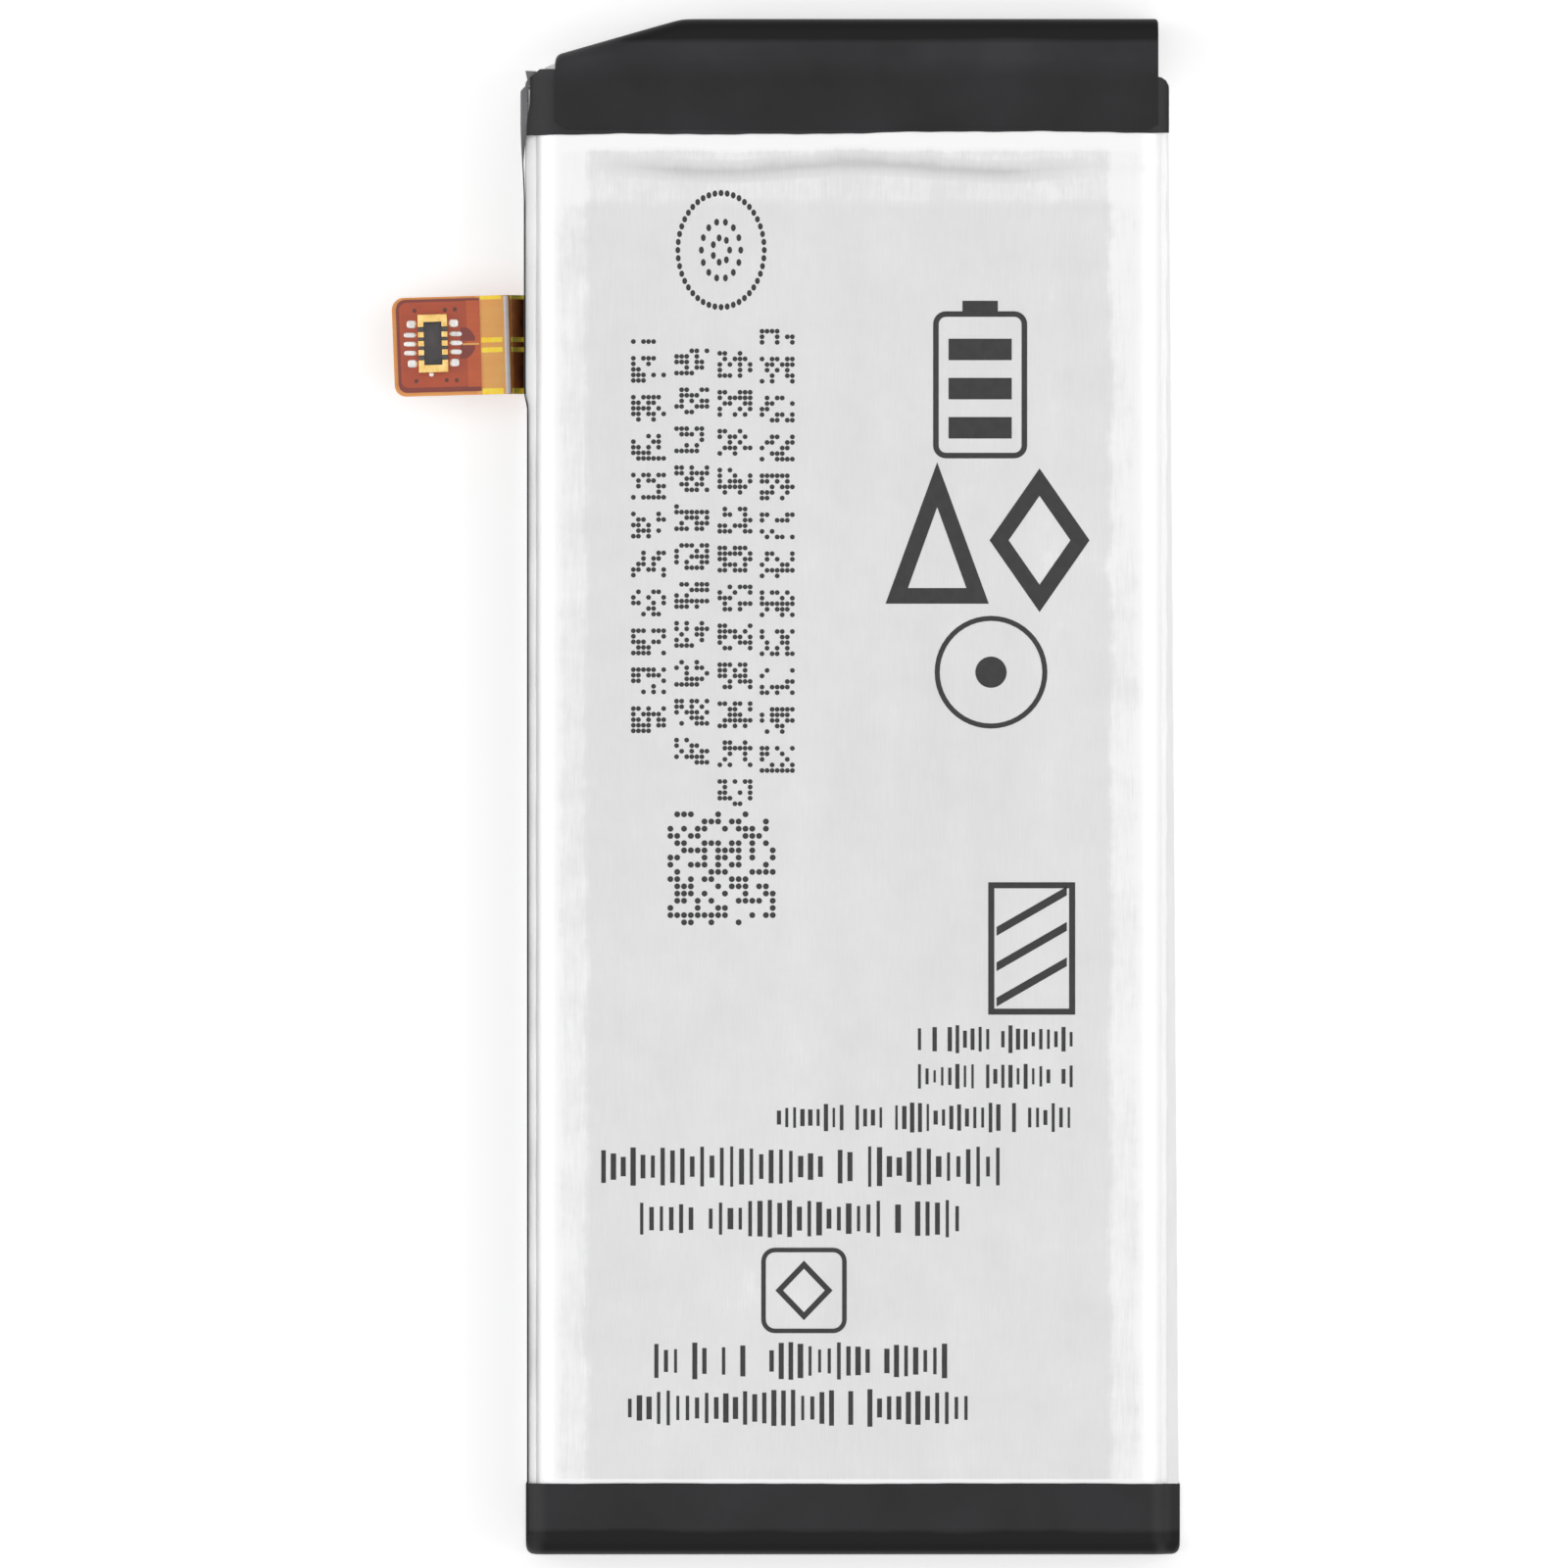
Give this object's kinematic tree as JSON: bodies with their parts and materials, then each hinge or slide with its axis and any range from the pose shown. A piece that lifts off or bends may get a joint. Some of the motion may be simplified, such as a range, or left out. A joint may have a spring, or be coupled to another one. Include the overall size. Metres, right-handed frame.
{
  "type": "lithium polymer pouch battery pack",
  "caption": "Flat soft-pouch battery cell with taped ends, a protection board under the top tape and a folding side connector tail.",
  "frame": {"origin": "middle of the pouch's flat back face, centred between the drawn cup's long sides and between the two end tapes", "axes": "+Z out of the drawn front face, +Y along the length towards the circuit board end, +X to the right when looking at the front; the connector tail leaves towards -X"},
  "size_m": [0.0312, 0.0608, 0.0039],
  "materials": {
    "laminate": "satin",
    "black_tape": "matte",
    "polyimide": "satin",
    "cover_tape": "gloss",
    "copper_gold": "polished",
    "mask": "satin",
    "stiffener": "satin",
    "connector_body": "satin",
    "contact_gold": "polished",
    "solder": "polished",
    "anode_coat": "matte",
    "cathode_coat": "matte",
    "separator_film": "matte",
    "stop_tape": "gloss",
    "bond_film": "gloss",
    "tab_aluminium": "satin",
    "tab_nickel": "satin",
    "tab_sealant": "satin",
    "board": "satin",
    "chip_black": "matte",
    "resistor_black": "satin",
    "capacitor_tan": "satin",
    "insulating_paper": "matte"
  },
  "bodies": {
    "pack": {"pouch_cup": "laminate", "pouch_cover": "laminate", "tape_top_lower": "black_tape", "tape_top_upper": "black_tape", "tape_side": "black_tape", "tape_bottom": "black_tape", "flex_run": "polyimide", "tab_cover_tape": "cover_tape", "flex_run_traces": "copper_gold", "anode": "anode_coat", "cathode": "cathode_coat", "separator_inner": "separator_film", "separator_outer": "separator_film", "roll_stop_tape": "stop_tape", "roll_bond": "bond_film", "positive_tab": "tab_aluminium", "negative_tab": "tab_nickel", "positive_weld_plate": "tab_nickel", "negative_weld_plate": "tab_nickel", "positive_sealant": "tab_sealant", "negative_sealant": "tab_sealant", "circuit_board": "board", "protection_ics": "chip_black", "mosfets": "chip_black", "resistors": "resistor_black", "capacitors": "capacitor_tan", "thermistor": "capacitor_tan", "board_insulator": "insulating_paper"},
    "tail": {"tail_film": "polyimide", "tail_traces": "copper_gold", "tail_coverlay": "polyimide", "tail_land": "mask", "tail_stiffener": "stiffener", "connector_housing": "connector_body", "signal_contacts": "contact_gold", "power_contacts": "contact_gold", "connector_solder": "solder"}
  },
  "joints": [
    {"name": "tail_fold", "type": "hinge", "parent": "pack", "child": "tail", "pos_m": [-0.01353, 0.01752, 0.00175], "axis": [0, 1, 0], "range_deg": [-45, 90]}
  ]
}
